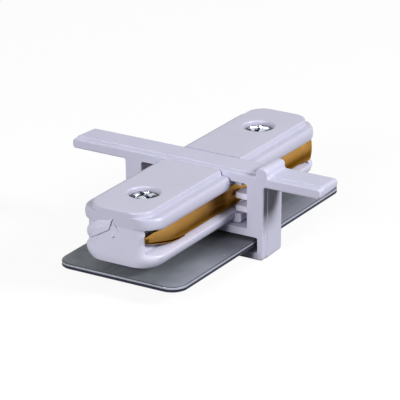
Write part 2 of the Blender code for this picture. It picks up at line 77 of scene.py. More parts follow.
# Studio: a white table that keeps a faint shadow, a dome that is dim near the
# horizon, and two soft lamps, one over the front end and one at the right.
TABLE_SIZE = 3.0
TABLE_WHITE = 0.96
TABLE_BOUNCE = 0.03           # how much light the table gives back to the connector
TABLE_SHADOW = 0.09           # share of the table that shows real light and shadow
DOME_HIGH = 0.24
DOME_LOW = 0.0
DOME_RISE = (0.15, 0.85)      # heights on the dome between which it brightens
TABLE_LEVEL = -0.02 * MM
SOFT_LAMPS = (("front_softbox", (-0.64, 0.02, 0.285), 0.24, 4.1),
              ("right_softbox", (0.128, -0.561, 0.357), 0.18, 4.7))    # place, size and watts
LAMP_AIM = Vector((0.0, 0.0, 0.01))


def add_node(tree, kind, inputs=None, **settings):
    """One shader node with its settings; inputs are values or sockets to link from."""
    node = tree.nodes.new(kind)
    for key, value in settings.items():
        setattr(node, key, value)
    for key, value in (inputs or {}).items():
        if isinstance(value, bpy.types.NodeSocket):
            tree.links.new(value, node.inputs[key])
        else:
            node.inputs[key].default_value = value
    return node


def ramp(tree, factor, stops):
    """A colour ramp from (position, colour) stops, linked to a factor."""
    node = add_node(tree, "ShaderNodeValToRGB", {"Fac": factor})
    points = node.color_ramp.elements
    while len(points) < len(stops):
        points.new(1.0)
    for point, (position, colour) in zip(points, stops):
        point.position = position
        point.color = (*colour, 1.0)
    return node.outputs["Color"]


def maths(tree, operation, *values, clamp=False):
    """The result of one Math node for values or sockets, in their order."""
    return add_node(tree, "ShaderNodeMath", dict(enumerate(values)), operation=operation,
                    use_clamp=clamp).outputs[0]


def mix_colours(tree, factor, under, over):
    """The colour under, which gives way to the one over it as the factor goes to one."""
    given = {"Factor": factor}
    for key, colour in (("A", under), ("B", over)):
        given[key] = colour if isinstance(colour, bpy.types.NodeSocket) else (*colour, 1.0)
    return add_node(tree, "ShaderNodeMix", given, data_type="RGBA").outputs["Result"]


def coordinate(tree, place, axis):
    """One coordinate of a place."""
    return add_node(tree, "ShaderNodeSeparateXYZ", {0: place}).outputs[axis]


def grey(value):
    """One value for red, green and blue."""
    return (value, value, value)


def seen_directly(tree):
    """One for the camera's rays and for mirrored or refracted ones, otherwise zero."""
    path = add_node(tree, "ShaderNodeLightPath").outputs
    mirrored = maths(tree, "MAXIMUM", path["Is Glossy Ray"], path["Is Transmission Ray"])
    return maths(tree, "MAXIMUM", path["Is Camera Ray"], mirrored)


def build_dome():
    """Brighter overhead than near the horizon; the camera and mirrors see plain white."""
    world = bpy.data.worlds.new("studio")
    scene.world = world
    world.use_nodes = True
    tree = world.node_tree
    height = coordinate(tree, add_node(tree, "ShaderNodeTexCoord").outputs["Generated"], "Z")
    light = ramp(tree, height, list(zip(DOME_RISE, (grey(DOME_LOW), grey(DOME_HIGH)))))
    seen = mix_colours(tree, seen_directly(tree), light, grey(1.0))
    tree.links.new(seen, tree.nodes["Background"].inputs["Color"])


def build_table():
    """A flat square just under the connector, which looks almost evenly white."""
    mesh = bpy.data.meshes.new("table")
    half = TABLE_SIZE / 2
    corners = [(x * half, y * half, TABLE_LEVEL) for x, y in ((-1, -1), (1, -1), (1, 1), (-1, 1))]
    mesh.from_pydata(corners, [], [(0, 1, 2, 3)])
    table = bpy.data.objects.new("table", mesh)
    scene.collection.objects.link(table)
    paint = bpy.data.materials.new("table_white")
    paint.use_nodes = True
    tree = paint.node_tree
    shader = tree.nodes["Principled BSDF"]
    shader.inputs["Roughness"].default_value = 0.8
    shader.inputs["Specular IOR Level"].default_value = 0.1
    seen = seen_directly(tree)
    tone = mix_colours(tree, seen, grey(TABLE_BOUNCE), grey(TABLE_WHITE))
    tree.links.new(tone, shader.inputs["Base Color"])
    glow = add_node(tree, "ShaderNodeEmission", {"Color": (*grey(1.0), 1.0)})
    mixed = add_node(tree, "ShaderNodeMixShader", {
        0: maths(tree, "MULTIPLY", seen, 1.0 - TABLE_SHADOW), 1: shader.outputs[0],
        2: glow.outputs[0]})
    tree.links.new(mixed.outputs[0], tree.nodes["Material Output"].inputs["Surface"])
    mesh.materials.append(paint)


def add_lamp(name, place, size, watts):
    """A square soft lamp that points at the middle of the connector."""
    lamp = bpy.data.lights.new(name, "AREA")
    lamp.size = size
    lamp.energy = watts
    holder = bpy.data.objects.new(name, lamp)
    spot = Vector(place)
    turned = (LAMP_AIM - spot).to_track_quat("-Z", "Y").to_matrix().to_4x4()
    holder.matrix_world = Matrix.Translation(spot) @ turned
    scene.collection.objects.link(holder)


build_dome()
build_table()
for lamp_values in SOFT_LAMPS:
    add_lamp(*lamp_values)


# Trim frame: one injection moulding in white polycarbonate. Its wings cover the
# ends of both tracks, its window holds the body, and short shelves inside the
# posts keep the body's contacts in line with the track's own conductors.
FRAME_DEPTH = 7.40 * MM
FRAME_SPAN = 56.60 * MM
FRAME_DRAFT = math.radians(2.2)
FRAME_EDGE = 0.35 * MM
OPENING_EDGE = 0.35           # the openings' edges as a share of the outer ones
WINDOW_WIDTH = 24.10 * MM
WINDOW_FLOOR = 6.15 * MM
WINDOW_ROOF = 15.35 * MM
WINDOW_CORNER = 0.35 * MM
WINDOW_ROOF_CORNER = 0.60 * MM
POST_WIDTH = 3.95 * MM
POST_TAPER = 0.20 * MM
POST_STEP = 0.12 * MM
WING_FILLET = 0.40 * MM
WING_CORNER = 0.70 * MM
FOOT_CORNER = 0.80 * MM
SLOT_FLOOR = 1.55 * MM
SLOT_ROOF = 4.60 * MM
SLOT_SIDE_CUT = 2.30 * MM
LEDGE_LEVEL = 17.30 * MM
LEDGE_DEPTH = 1.50 * MM
LEDGE_STEP = 0.20 * MM
LEDGE_EASE = 0.18 * MM
WING_THICKNESS = 2.00 * MM
RIDGE_OFFSET = 15.35 * MM
RIDGE_WIDTH = 2.60 * MM
RIDGE_TOP = 19.20 * MM
RIDGE_CROWN = 1.10 * MM
RIDGE_FILLET = 0.45 * MM
FIN_DEPTH = 3.30 * MM
FIN_THICKNESS = 1.20 * MM
FIN_LEVELS = (8.50 * MM, 11.15 * MM)
FIN_TIP = 8.25 * MM
FIN_ROOT = 1.00 * MM          # how far each fin is sunk into its post
FIN_CORNER = 0.40 * MM
FIN_EDGE = 0.15 * MM
FIN_ROOT_CORNER = 0.05 * MM
FRAME_WHITE = (0.545, 0.541, 0.672), (0.520, 0.516, 0.648)
# The fins are part of the frame's moulding, but are painted paler than it as painted light.
FIN_PAINTED_LIGHT = (0.78, 0.76, 0.91), (0.74, 0.72, 0.86)
RING_GAP = 0.02 * MM          # between rings that hold a flat face or a sharp riser
EDGE_STEPS = 6
ARC_STEPS = 8


def rounded(corners, radii, steps=ARC_STEPS):
    """A polygon with each corner replaced by an arc.

    The arc's centre lies on the corner's bisector at radius over the sine of
    half the angle, and its points turn from one tangent point to the other.
    """
    corners = np.asarray(corners, float)
    radii = np.asarray(radii, float)[:, None]
    before = np.roll(corners, 1, axis=0) - corners
    after = np.roll(corners, -1, axis=0) - corners
    before /= np.linalg.norm(before, axis=1, keepdims=True)
    after /= np.linalg.norm(after, axis=1, keepdims=True)
    half = np.arccos(np.clip((before * after).sum(1, keepdims=True), -1.0, 1.0)) / 2
    middle = before + after
    middle /= np.linalg.norm(middle, axis=1, keepdims=True)
    centre = corners + middle * radii / np.sin(half)
    start = corners + before * radii / np.tan(half) - centre
    end = corners + after * radii / np.tan(half) - centre
    sweep = np.arctan2(start[:, 0] * end[:, 1] - start[:, 1] * end[:, 0], (start * end).sum(1))
    turn = sweep[:, None] * np.linspace(0.0, 1.0, steps + 1)
    cos, sin = np.cos(turn), np.sin(turn)
    x = centre[:, :1] + start[:, :1] * cos - start[:, 1:] * sin
    y = centre[:, 1:] + start[:, :1] * sin + start[:, 1:] * cos
    return np.stack((x.ravel(), y.ravel()), axis=1)


def ring_quads(rows, columns, first=0, closed=False):
    """Quads between each ring of points and the next; closed joins the last to the first."""
    row, column = np.meshgrid(np.arange(rows if closed else rows - 1), np.arange(columns),
                              indexing="ij")
    beside = (column + 1) % columns
    above = (row + 1) % rows
    quads = np.stack((row * columns + column, row * columns + beside,
                      above * columns + beside, above * columns + column), axis=-1)
    return quads.reshape(-1, 4) + first


def make_piece(name, stacks, caps="fill", closed=False, sharp=35.0, stands_for=()):
    """One closed piece from stacks of rings, each an array of levels x points x 3.

    The side faces join ring to ring. With caps "fill", the first rings of all
    the stacks bound one flat end and the last rings the other, so that the
    later stacks are openings in the first one. With caps "each", every stack is
    a body of its own.
    """
    points, quads, ends = [], [], []
    first = 0
    for stack in stacks:
        rows, columns = stack.shape[:2]
        points.append(stack.reshape(-1, 3))
        quads.append(ring_quads(rows, columns, first, closed))
        ends.append((first, first + (rows - 1) * columns, columns))
        first += rows * columns
    mesh = bpy.data.meshes.new(name)
    mesh.from_pydata(np.concatenate(points).tolist(), [], np.concatenate(quads).tolist())
    builder = bmesh.new()
    builder.from_mesh(mesh)
    builder.verts.ensure_lookup_table()
    if not closed:
        if caps == "fill":
            groups = [[(low, count) for low, _, count in ends], [(high, count) for _, high, count in ends]]
        else:
            groups = [[(start, count)] for low, high, count in ends for start in (low, high)]
        for group in groups:
            edges = []
            for start, count in group:
                ring = [builder.verts[start + i] for i in range(count)]
                edges += [builder.edges.get((a, b)) for a, b in zip(ring, ring[1:] + ring[:1])]
            bmesh.ops.triangle_fill(builder, use_beauty=True, edges=edges)
    bmesh.ops.recalc_face_normals(builder, faces=builder.faces)
    builder.to_mesh(mesh)
    builder.free()
    mesh.shade_smooth()
    mesh.set_sharp_from_angle(angle=math.radians(sharp))
    piece = bpy.data.objects.new(name, mesh)
    scene.collection.objects.link(piece)
    even = piece.modifiers.new("even_shading", "WEIGHTED_NORMAL")
    even.keep_sharp = True
    if stands_for:
        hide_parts(*stands_for)
    return piece


def edge_profile(radius):
    """A quarter-round edge as (depth, inset) pairs, from the face to the side."""
    turn = np.linspace(0.0, math.pi / 2, EDGE_STEPS)
    return np.stack((radius * (1 - np.cos(turn)), radius * (1 - np.sin(turn))), axis=1)


def frame_rings(inset, edge, lift):
    """The frame's outline, window and slot at one depth, as YZ rings."""
    half_span = FRAME_SPAN / 2 - inset
    top = LEDGE_LEVEL + lift - inset
    bottom = LEDGE_LEVEL - WING_THICKNESS + inset
    post = WINDOW_WIDTH / 2 + POST_WIDTH - inset - POST_STEP * (1 - lift / LEDGE_STEP)
    ankle = post - POST_TAPER
    ridge_in = RIDGE_WIDTH / 2 - inset - RIDGE_OFFSET
    ridge_out = inset - RIDGE_WIDTH / 2 - RIDGE_OFFSET
    corner = WING_CORNER - edge
    crown = RIDGE_CROWN - inset
    foot = FOOT_CORNER - edge
    groin = WING_FILLET + edge
    outline = rounded(
        [(half_span, bottom), (half_span, top), (ridge_in, top), (ridge_in, RIDGE_TOP - inset),
         (ridge_out, RIDGE_TOP - inset), (ridge_out, top), (-half_span, top),
         (-half_span, bottom), (-post, bottom), (-ankle, edge), (ankle, edge), (post, bottom)],
        [corner, corner, RIDGE_FILLET, crown, crown, RIDGE_FILLET, corner, corner,
         groin, foot, foot, groin])
    grow = OPENING_EDGE * edge + (inset - edge)
    side = WINDOW_WIDTH / 2 + grow
    window = rounded(
        [(-side, WINDOW_FLOOR - grow), (side, WINDOW_FLOOR - grow), (side, WINDOW_ROOF + grow),
         (-side, WINDOW_ROOF + grow)], [WINDOW_CORNER] * 2 + [WINDOW_ROOF_CORNER] * 2)
    side += SLOT_SIDE_CUT
    slot = rounded(
        [(-side, SLOT_FLOOR - grow), (side, SLOT_FLOOR - grow), (side, SLOT_ROOF + grow),
         (-side, SLOT_ROOF + grow)], [WINDOW_CORNER] * 4)
    return outline, window, slot


def build_frame():
    """Rings of the same outline through the depth: rounded edges, the ledge's riser, draft."""
    front = -FRAME_DEPTH / 2
    riser = front + LEDGE_DEPTH
    edge = edge_profile(FRAME_EDGE)
    step = edge_profile(LEDGE_EASE)
    flat = FRAME_EDGE + RING_GAP
    stations = [(front, flat, 0.0)] + [(front + depth, inset, 0.0) for depth, inset in edge]
    stations += [(riser - RING_GAP, 0.0, 0.0)]
    stations += [(riser + depth, 0.0, LEDGE_STEP - inset) for depth, inset in step]
    stations += [(-front - depth, inset, LEDGE_STEP) for depth, inset in edge[::-1]]
    stations += [(-front, flat, LEDGE_STEP)]
    stacks = [[], [], []]
    for x, inset, lift in stations:
        draft = max(0.0, x - riser) * math.tan(FRAME_DRAFT)
        for stack, outline in zip(stacks, frame_rings(inset + draft, inset, lift)):
            stack.append(np.column_stack((np.full(len(outline), x), outline)))
    return make_piece("trim_frame_moulding", [np.array(stack) for stack in stacks],
                      stands_for=["trim_frame"])


def build_fins():
    """Shelves on the posts' inner faces: a rounded plan, carried up with eased edges."""
    stacks = []
    root = WINDOW_WIDTH / 2 + FIN_ROOT
    eased = edge_profile(FIN_EDGE)
    levels = np.concatenate((eased, [FIN_THICKNESS, 0.0] - eased[::-1] * [1.0, -1.0]))
    for side in (-1, 1):
        for bottom in FIN_LEVELS:
            rings = []
            for depth, inset in levels:
                half = FIN_DEPTH / 2 - inset
                tip = FIN_TIP + inset
                plan = rounded([(-half, tip), (half, tip), (half, root), (-half, root)],
                               [FIN_CORNER] * 2 + [FIN_ROOT_CORNER] * 2)
                rings.append(np.column_stack((plan[:, 0], side * plan[:, 1],
                                              np.full(len(plan), bottom + depth))))
            stacks.append(np.array(rings))
    return make_piece("trim_frame_fins", stacks, caps="each")


SPECK_COLOUR = (0.28, 0.24, 0.27)
BARE_CELLS = 0.93             # share of a scattered pattern's cells that hold no dot


def object_place(tree):
    """Places on the piece, in metres."""
    return add_node(tree, "ShaderNodeTexCoord").outputs["Object"]


def rise(tree, value, low, high, bottom=0.0, top=1.0):
    """A straight rise from bottom to top, and no further, as the value goes from low to high."""
    return add_node(tree, "ShaderNodeMapRange", {
        "Value": value, "From Min": low, "From Max": high, "To Min": bottom,
        "To Max": top}).outputs["Result"]


def noise(tree, place, scale, detail, roughness=0.5):
    """Cloudy noise between nought and one."""
    return add_node(tree, "ShaderNodeTexNoise", {
        "Vector": place, "Scale": scale, "Detail": detail, "Roughness": roughness}).outputs["Fac"]


def scattered_dots(tree, place, scale, edge, core, channel):
    """Round dots at the points of a few of a scattered pattern's cells, soft from edge to core."""
    cells = add_node(tree, "ShaderNodeTexVoronoi", {"Vector": place, "Scale": scale}).outputs
    pick = add_node(tree, "ShaderNodeSeparateColor", {0: cells["Color"]}).outputs[channel]
    return maths(tree, "MULTIPLY", rise(tree, cells["Distance"], edge, core),
                 maths(tree, "GREATER_THAN", pick, BARE_CELLS))


def start_group(name, inputs):
    """A surface group with its inputs; it puts out a colour, a roughness and a height."""
    group = bpy.data.node_groups.new(name, "ShaderNodeTree")
    for label, value in inputs.items():
        kind = "NodeSocketColor" if isinstance(value, tuple) else "NodeSocketFloat"
        group.interface.new_socket(label, in_out="INPUT", socket_type=kind).default_value = value
    for label, kind in (("Colour", "NodeSocketColor"), ("Roughness", "NodeSocketFloat"),
                        ("Height", "NodeSocketFloat")):
        group.interface.new_socket(label, in_out="OUTPUT", socket_type=kind)
    return group, group.nodes.new("NodeGroupInput").outputs


def end_group(group, given, colour, uneven, height):
    """The group's outputs: its colour, the given roughness made uneven, and its height."""
    made = group.nodes.new("NodeGroupOutput").inputs
    group.links.new(colour, made["Colour"])
    group.links.new(maths(group, "ADD", given["Roughness"], uneven), made["Roughness"])
    group.links.new(height, made["Height"])
    return group


def plastic_group():
    """Moulded plastic: faint cloudiness, a fine spark-eroded grain and a few specks."""
    group, given = start_group("moulded_surface", {
        "Colour": (0.7, 0.7, 0.75, 1.0), "Shade": (0.6, 0.6, 0.66, 1.0), "Cloud Scale": 140.0,
        "Grain Scale": 3800.0, "Roughness": 0.4})
    place = object_place(group)
    cloud = noise(group, place, given["Cloud Scale"], 3.0, 0.55)
    grain = noise(group, place, given["Grain Scale"], 2.0)
    base = mix_colours(group, rise(group, cloud, 0.35, 0.68, top=0.55), given["Colour"],
                       given["Shade"])
    specks = scattered_dots(group, place, 520.0, 0.045, 0.02, "Red")
    dotted = mix_colours(group, specks, base, SPECK_COLOUR)
    return end_group(group, given, dotted, maths(group, "MULTIPLY_ADD", cloud, 0.14, -0.07), grain)


MOULDED = plastic_group()


def dress(name, group, colours, roughness, relief, strength):
    """A material whose shader takes its roughness and relief from a surface group."""
    material = bpy.data.materials.new(name)
    material.use_nodes = True
    tree = material.node_tree
    shader = tree.nodes["Principled BSDF"].inputs
    surface = add_node(tree, "ShaderNodeGroup", node_tree=group)
    for label, colour in colours.items():
        surface.inputs[label].default_value = (*colour, 1.0)
    surface.inputs["Roughness"].default_value = roughness
    bump = add_node(tree, "ShaderNodeBump", {"Height": surface.outputs["Height"],
                                             "Distance": relief * MM, "Strength": strength})
    tree.links.new(surface.outputs["Roughness"], shader["Roughness"])
    tree.links.new(bump.outputs["Normal"], shader["Normal"])
    return material, shader, surface.outputs["Colour"]


def plastic(name, colour, shade, roughness, gloss=0.35, grain=0.004):
    """A white moulding; the group gives its colour, roughness and grain."""
    material, shader, tone = dress(name, MOULDED, {"Colour": colour, "Shade": shade}, roughness,
                                   grain, 0.6)
    material.node_tree.links.new(tone, shader["Base Color"])
    shader["Specular IOR Level"].default_value = gloss
    return material


frame_plastic = plastic("frame_plastic", *FRAME_WHITE, roughness=0.42, gloss=0.08)
# A paler copy of the frame's plastic for the fins: painted light.
fin_plastic_painted_light = plastic("fin_plastic_painted_light", *FIN_PAINTED_LIGHT, roughness=0.45, gloss=0.10)
for piece, finish in ((build_frame(), frame_plastic), (build_fins(), fin_plastic_painted_light)):
    piece.data.materials.append(finish)
    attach(piece, "connector")


# Base: the lower half of the insulating body, moulded in the same plastic. A
# groove along each side holds a contact, and ribs on two opposite corners let
# the body enter the track in one way only.
BASE_BEVEL = 0.12 * MM
BASE_WELD = 0.002 * MM
BASE_FLAT = math.radians(0.4)     # faces that differ by less than this are made one
BASE_SHARP = math.radians(32.0)
BASE_EASED = math.radians(40.0)
# A touch paler than the frame's white, though the same plastic: painted light on the base's ends and
# sides.
BASE_WHITE = (0.565, 0.560, 0.690), (0.535, 0.529, 0.655)
HALF_LENGTH = 31.50 * MM
WAIST = 7.60 * MM
WAIST_CORNER = 3.80 * MM


def soften_node(node, name, width):
    """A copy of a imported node, welded, with its flat faces whole and its edges eased."""
    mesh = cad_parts[node].data.copy()
    builder = bmesh.new()
    builder.from_mesh(mesh)
    bmesh.ops.remove_doubles(builder, verts=builder.verts, dist=BASE_WELD)
    bmesh.ops.dissolve_limit(builder, angle_limit=BASE_FLAT, verts=builder.verts,
                             edges=builder.edges)
    builder.to_mesh(mesh)
    builder.free()
    mesh.materials.clear()
    mesh.shade_smooth()
    mesh.set_sharp_from_angle(angle=BASE_SHARP)
    piece = bpy.data.objects.new(name, mesh)
    scene.collection.objects.link(piece)
    ease = piece.modifiers.new("eased_edges", "BEVEL")
    ease.width = width
    ease.segments = 2
    ease.limit_method = "ANGLE"
    ease.angle_limit = BASE_EASED
    ease.harden_normals = True
    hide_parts(node)
    return piece


base = soften_node("base_housing", "base_moulding", BASE_BEVEL)
base.data.materials.append(plastic("base_plastic", *BASE_WHITE, roughness=0.42))
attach(base, "connector")


# Key rib: a thin leaf moulded on the base's front corner, which wraps round to
# the end face, with a sliver of flash that the mould left beside its point.
RIB_RELIEF = 0.395 * MM
RIB_SINK = 0.30               # share of the relief by which the rib's back is sunk
RIB_END = 0.25 * MM
RIB_FOOT = 9.63 * MM          # height of the lower edge where the rib starts
RIB_START = 7.10 * MM
RIB_CLIMB = 0.57              # climb of the lower edge towards the middle of the end
RIB_KINK = 1.75 * MM          # extra climb near the point
RIB_KINK_START = 1.35 * MM
RIB_KINK_RUN = 1.10 * MM
RIB_TOP_AT = np.array([0.2, 0.35, 2.0, 3.9, 5.7, 7.6]) * MM
RIB_TOP = np.array([14.95, 14.9, 14.8, 14.5, 13.1, 12.3]) * MM
RIB_LEAST = 0.04 * MM
BURR_PATH = np.array([(0.42, 14.92), (0.12, 14.45), (-0.15, 14.10), (-0.42, 13.65),
                      (-0.80, 13.02)]) * MM
BURR_WIDTH = np.array([0.05, 0.13, 0.15, 0.13, 0.04]) * MM


def smooth_step(value):
    """Three times the square less twice the cube, held between nought and one."""
    value = np.clip(value, 0.0, 1.0)
    return value * value * (3.0 - 2.0 * value)


def build_rib():
    """The rib's leaf: its lower edge climbs at 30 degrees round the corner, then kinks up.

    Along the path the height between the two edges widens and closes to a
    point. Across it the relief stands up at once at the lower edge and falls
    to nothing at the upper one as the cosine of the way across.
    """
    turn = np.linspace(0.15, math.pi / 2, 16)
    centre = WAIST - WAIST_CORNER
    across_end = np.linspace(centre, RIB_END, 26)[1:]
    flat = np.ones(len(across_end))
    y = np.concatenate((centre + WAIST_CORNER * np.cos(turn), across_end))
    x = np.concatenate((HALF_LENGTH - WAIST_CORNER * (1 - np.sin(turn)), HALF_LENGTH * flat))[:, None]
    out_x = np.concatenate((np.sin(turn), flat))[:, None]
    out_y = np.concatenate((np.cos(turn), 0.0 * flat))[:, None]
    low = (RIB_FOOT + RIB_CLIMB * (RIB_START - y)
           + RIB_KINK * smooth_step((RIB_KINK_START - y) / RIB_KINK_RUN))
    high = np.maximum(np.interp(y, RIB_TOP_AT, RIB_TOP), low + RIB_LEAST)
    v = np.concatenate(([0.0, 0.0, 0.02], np.linspace(0.08, 1.0, 11), [0.5]))
    lift = np.concatenate(([-RIB_SINK, 0.85, 1.0], np.cos(np.linspace(0.0, math.pi / 2, 11)) ** 0.7,
                           [-RIB_SINK]))
    lift[-2] = -RIB_SINK
    start = smooth_step(np.linspace(0.0, 2.6, len(y)))[:, None]
    reach = RIB_RELIEF * np.where(lift > 0, lift * start, lift)
    z = low[:, None] + v * (high - low)[:, None]
    return np.stack((-(x + out_x * reach), y[:, None] + out_y * reach, z), axis=2)


def build_burr():
    """A half-round bead of changing width along a bent line on the end face."""
    step = np.linspace(0.0, len(BURR_PATH) - 1.0, 24)
    index = np.arange(len(BURR_PATH))
    y = np.interp(step, index, BURR_PATH[:, 0])[:, None]
    z = np.interp(step, index, BURR_PATH[:, 1])[:, None]
    wide = np.interp(step, index, BURR_WIDTH)[:, None]
    turn = np.linspace(0.0, 2 * math.pi, 10, endpoint=False)
    return np.stack((-HALF_LENGTH - wide * (1.5 * np.sin(turn) + 0.5),
                     y + wide * np.cos(turn) * 0.9, z + wide * np.cos(turn) * 0.4), axis=2)


rib = make_piece("base_key_rib", [build_rib()], sharp=40.0)
burr = make_piece("base_key_burr", [build_burr()], sharp=60.0)
for piece in (rib, burr):
    piece.data.materials.append(base.data.materials[0])
    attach(piece, "connector")


# Covers: the upper halves of the body, one before and one behind the frame's
# top bar. Each has a beaded lip, a raised platform that ends level with the
# frame, and a deep recess for the screw that holds the body together.
COVER_INNER_END = 3.85 * MM
COVER_BOTTOM = 14.00 * MM
SPLIT_LEVEL = 13.91 * MM
LIP_TOP = 16.22 * MM
LIP_WIDTH = 17.40 * MM
LIP_CORNER = 4.40 * MM
LIP_END_CORNER = 0.55 * MM
LIP_BEAD = 0.75 * MM
LIP_DROP = 0.50 * MM
BEAD_FADE = 3.40 * MM
BEAD_STEPS = 16
PLATFORM_WIDTH = 12.90 * MM
PLATFORM_CORNER = 3.45 * MM
PLATFORM_EDGE = 0.38 * MM
PLATFORM_INNER_CORNER = 0.30 * MM
PLATFORM_FILLET = 0.12 * MM
PLATFORM_FOOT = 0.30 * MM     # the fillet's foot, out from the platform's side
PLATFORM_SPREAD = 0.05 * MM
END_RISE = 0.45 * MM          # height of the bead where it has faded at the end
SCREW_X = 21.35 * MM
RECESS_RADIUS = 3.09 * MM
RECESS_THROAT = 3.08 * MM
RECESS_FLOOR = 14.70 * MM
RECESS_RIM = 0.44 * MM
RECESS_TAPER = 1.30 * MM
RECESS_CORNER = 0.10 * MM
BORE_RADIUS = 1.60 * MM
TONGUE_WIDTH = 15.80 * MM
TONGUE_ROOT = 0.60 * MM       # how far the tongue runs into its cover
TONGUE_EDGE = 0.10 * MM
TONGUE_CORNER = 0.12 * MM
TONGUE_GAP = 0.05 * MM        # to the base, and to the other cover's tongue
BAR_GAP = 0.15 * MM
EAR_REACH = 9.90 * MM
EAR_DEPTH = 1.90 * MM
# Darker than the frame's white, though the same plastic: painted shade on the covers' brightly lit tops.
COVER_WHITE = (0.488, 0.484, 0.604), (0.464, 0.460, 0.582)


def long_outline(x_low, x_high, half_width, corner, inner_corner, runs=30):
    """A rounded rectangle with its straight sides divided, so that rings stay even."""
    arcs = rounded([(x_low, -half_width), (x_high, -half_width), (x_high, half_width),
                    (x_low, half_width)], [inner_corner, corner, corner, inner_corner])
    arcs = arcs.reshape(4, ARC_STEPS + 1, 2)
    share = np.linspace(0.0, 1.0, runs + 1)[1:-1, None]
    parts = []
    for i in range(4):
        parts += [arcs[i], arcs[i][-1] + share * (arcs[(i + 1) % 4][0] - arcs[i][-1])]
    return np.concatenate(parts)


def build_cover(name, end, node):
    """Rings that run up the outside, over the platform and down into the recess.

    Outside, each ring is a rounded rectangle whose width follows the bead's
    half ellipse, then the platform's rounded edge. Inside, each ring is a
    circle seen along the same rays from the screw's axis.
    """
    lip = LIP_WIDTH / 2
    platform = PLATFORM_WIDTH / 2
    middle = (LIP_TOP + COVER_BOTTOM - LIP_DROP) / 2
    levels = [(SPLIT_LEVEL, SPLIT_LEVEL, 0.0, lip - 1.2 * LIP_BEAD, LIP_END_CORNER)]
    for turn in np.linspace(-math.pi / 2, math.pi / 2, BEAD_STEPS):
        side_z = middle + (LIP_TOP - middle) * math.sin(turn)
        end_z = max(side_z, SPLIT_LEVEL + END_RISE * (turn / math.pi + 0.5))
        levels.append((side_z, end_z, 0.0, lip - LIP_BEAD * (1 - math.cos(turn)), LIP_END_CORNER))
    for turn in np.linspace(0.0, math.pi / 2, 4):
        z = LIP_TOP + PLATFORM_FILLET * (1 - math.cos(turn))
        width = platform + PLATFORM_FOOT - PLATFORM_FILLET * math.sin(turn)
        levels.append((z, z, 0.0, width, PLATFORM_INNER_CORNER))
    for depth, inset in edge_profile(PLATFORM_EDGE)[::-1]:
        z = LEDGE_LEVEL - depth
        levels.append((z, z, inset, platform + PLATFORM_SPREAD - inset, PLATFORM_INNER_CORNER))
    rings = []
    for side_z, end_z, inset, width, inner_corner in levels:
        corner = PLATFORM_CORNER + (width - platform) / (lip - platform) * (LIP_CORNER - PLATFORM_CORNER)
        plan = long_outline(COVER_INNER_END, HALF_LENGTH - inset, width, corner, inner_corner)
        share = smooth_step((HALF_LENGTH - BEAD_FADE / 2 - plan[:, 0]) / (LIP_CORNER - BEAD_FADE / 2))
        rings.append(np.column_stack((end * plan[:, 0], plan[:, 1], end_z + share * (side_z - end_z))))
    ray = np.arctan2(rings[-1][:, 1], rings[-1][:, 0] - end * SCREW_X)
    for radius, z in recess_profile():
        rings.append(np.column_stack((end * SCREW_X + radius * np.cos(ray), radius * np.sin(ray),
                                      np.full(len(ray), z))))
    return make_piece(name, [np.array(rings)], closed=True, stands_for=[node])


def recess_profile():
    """Radius and height down the recess: rolled rim, tapering throat, floor and bore."""
    profile = [(RECESS_RADIUS + inset, LEDGE_LEVEL - depth)
               for depth, inset in edge_profile(RECESS_RIM)]
    return profile + [
        (RECESS_THROAT, LEDGE_LEVEL - RECESS_TAPER), (RECESS_THROAT, RECESS_FLOOR + RECESS_CORNER),
        (RECESS_THROAT - RECESS_CORNER, RECESS_FLOOR), (BORE_RADIUS, RECESS_FLOOR),
        (BORE_RADIUS, COVER_BOTTOM)]


def build_tongue(name, end):
    """The tongue under the top bar with its two ears, as one flat plate with eased edges."""
    half = TONGUE_WIDTH / 2
    root = COVER_INNER_END + TONGUE_ROOT
    rings = []
    low, high = COVER_BOTTOM + TONGUE_GAP, WINDOW_ROOF - BAR_GAP
    eased = edge_profile(TONGUE_EDGE)
    for z, inset in ([(low + depth, inset) for depth, inset in eased]
                     + [(high - depth, inset) for depth, inset in eased[::-1]]):
        plan = rounded(
            [(TONGUE_GAP + inset, -EAR_REACH + inset), (EAR_DEPTH - inset, -EAR_REACH + inset),
             (EAR_DEPTH - inset, -half + inset), (root, -half + inset), (root, half - inset),
             (EAR_DEPTH - inset, half - inset), (EAR_DEPTH - inset, EAR_REACH - inset),
             (TONGUE_GAP + inset, EAR_REACH - inset)], [TONGUE_CORNER] * 8, steps=3)
        rings.append(np.column_stack((end * plan[:, 0], plan[:, 1], np.full(len(plan), z))))
    return make_piece(name, [np.array(rings)])


for end, place in ((-1, "front"), (1, "rear")):
    cover_plastic = plastic(f"{place}_cover_plastic", *COVER_WHITE, roughness=0.34, gloss=0.40)
    shell = build_cover(f"{place}_cover_moulding", end, f"{place}_cover")
    tongue = build_tongue(f"{place}_cover_tongue", end)
    for piece in (shell, tongue):
        piece.data.materials.append(cover_plastic)
        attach(piece, "connector")


# Contacts: two strips of rolled spring brass, arched in section, pressed into
# the body's side grooves. The open end of each narrows to a tongue with its
# lower edge folded under; at the other end the right strip wraps the corner.
STRIP_FACE = 7.90 * MM
STRIP_THICKNESS = 0.50 * MM
STRIP_TOP = 13.60 * MM
STRIP_HEIGHT = 4.45 * MM
STRIP_BOW = 0.55 * MM
OPEN_END = 31.00 * MM
CLOSED_END = 27.30 * MM
STRIP_TAPER = 12.50 * MM
STRIP_TIP_HEIGHT = 1.20 * MM
STRIP_TIP_DROP = 0.80 * MM
STRIP_CURL = 9.00 * MM
STRIP_CURL_DEPTH = 1.15 * MM
STRIP_HOOK = 3.00 * MM
STRIP_HOOK_DEPTH = 0.50 * MM
WRAP_TURN = math.radians(68.0)
WRAP_SWELL = 0.18 * MM
WRAP_FLATTEN = 0.60
WRAP_START = 2.50 * MM
STRIP_STEPS = 140
WRAP_STEPS = 25
FOLD_STEPS = 70
